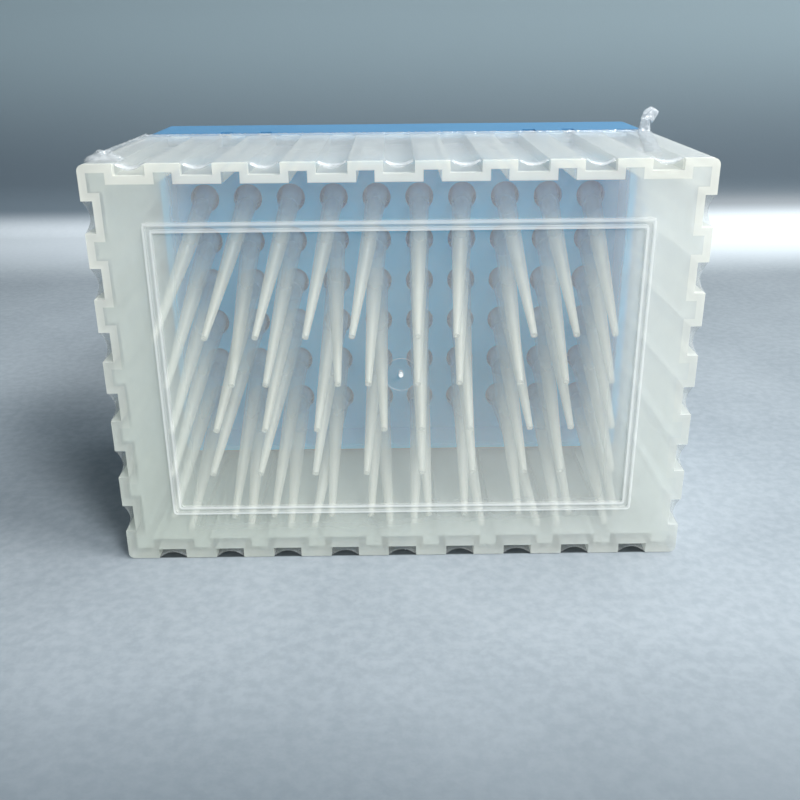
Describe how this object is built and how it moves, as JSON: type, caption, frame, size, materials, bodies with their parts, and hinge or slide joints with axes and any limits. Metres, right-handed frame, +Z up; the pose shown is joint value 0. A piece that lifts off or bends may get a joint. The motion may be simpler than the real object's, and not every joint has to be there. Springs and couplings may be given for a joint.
{
  "type": "tip_rack_box",
  "caption": "Film-wrapped translucent box of dispensing tips, lying on its long side, with a rack and a blue hinged lid.",
  "frame": {"origin": "middle of the footprint, on the resting surface", "axes": "+X to the right seen from the closed bottom plate, +Y from that plate to the lid, +Z up as the box lies on its long side"},
  "size_m": [0.1158, 0.0674, 0.087],
  "materials": {
    "tray_plastic": "satin",
    "rack_plastic": "satin",
    "lid_plastic": "satin",
    "tip_plastic": "satin",
    "clear_film": "gloss"
  },
  "bodies": {
    "box": {"tray": "tray_plastic", "rack": "rack_plastic", "tip_column_01": "tip_plastic", "tip_column_02": "tip_plastic", "tip_column_03": "tip_plastic", "tip_column_04": "tip_plastic", "tip_column_05": "tip_plastic", "tip_column_06": "tip_plastic", "tip_column_07": "tip_plastic", "tip_column_08": "tip_plastic", "tip_column_09": "tip_plastic", "tip_column_10": "tip_plastic", "film_sleeve": "clear_film", "film_seam": "clear_film", "film_tail": "clear_film", "film_tuft": "clear_film"},
    "lid_body": {"lid": "lid_plastic"}
  },
  "joints": [
    {"name": "lid_hinge", "type": "hinge", "parent": "box", "child": "lid_body", "pos_m": [0, 0.0154, 0.0776], "axis": [1, 0, 0], "range_deg": [0, 90]}
  ]
}
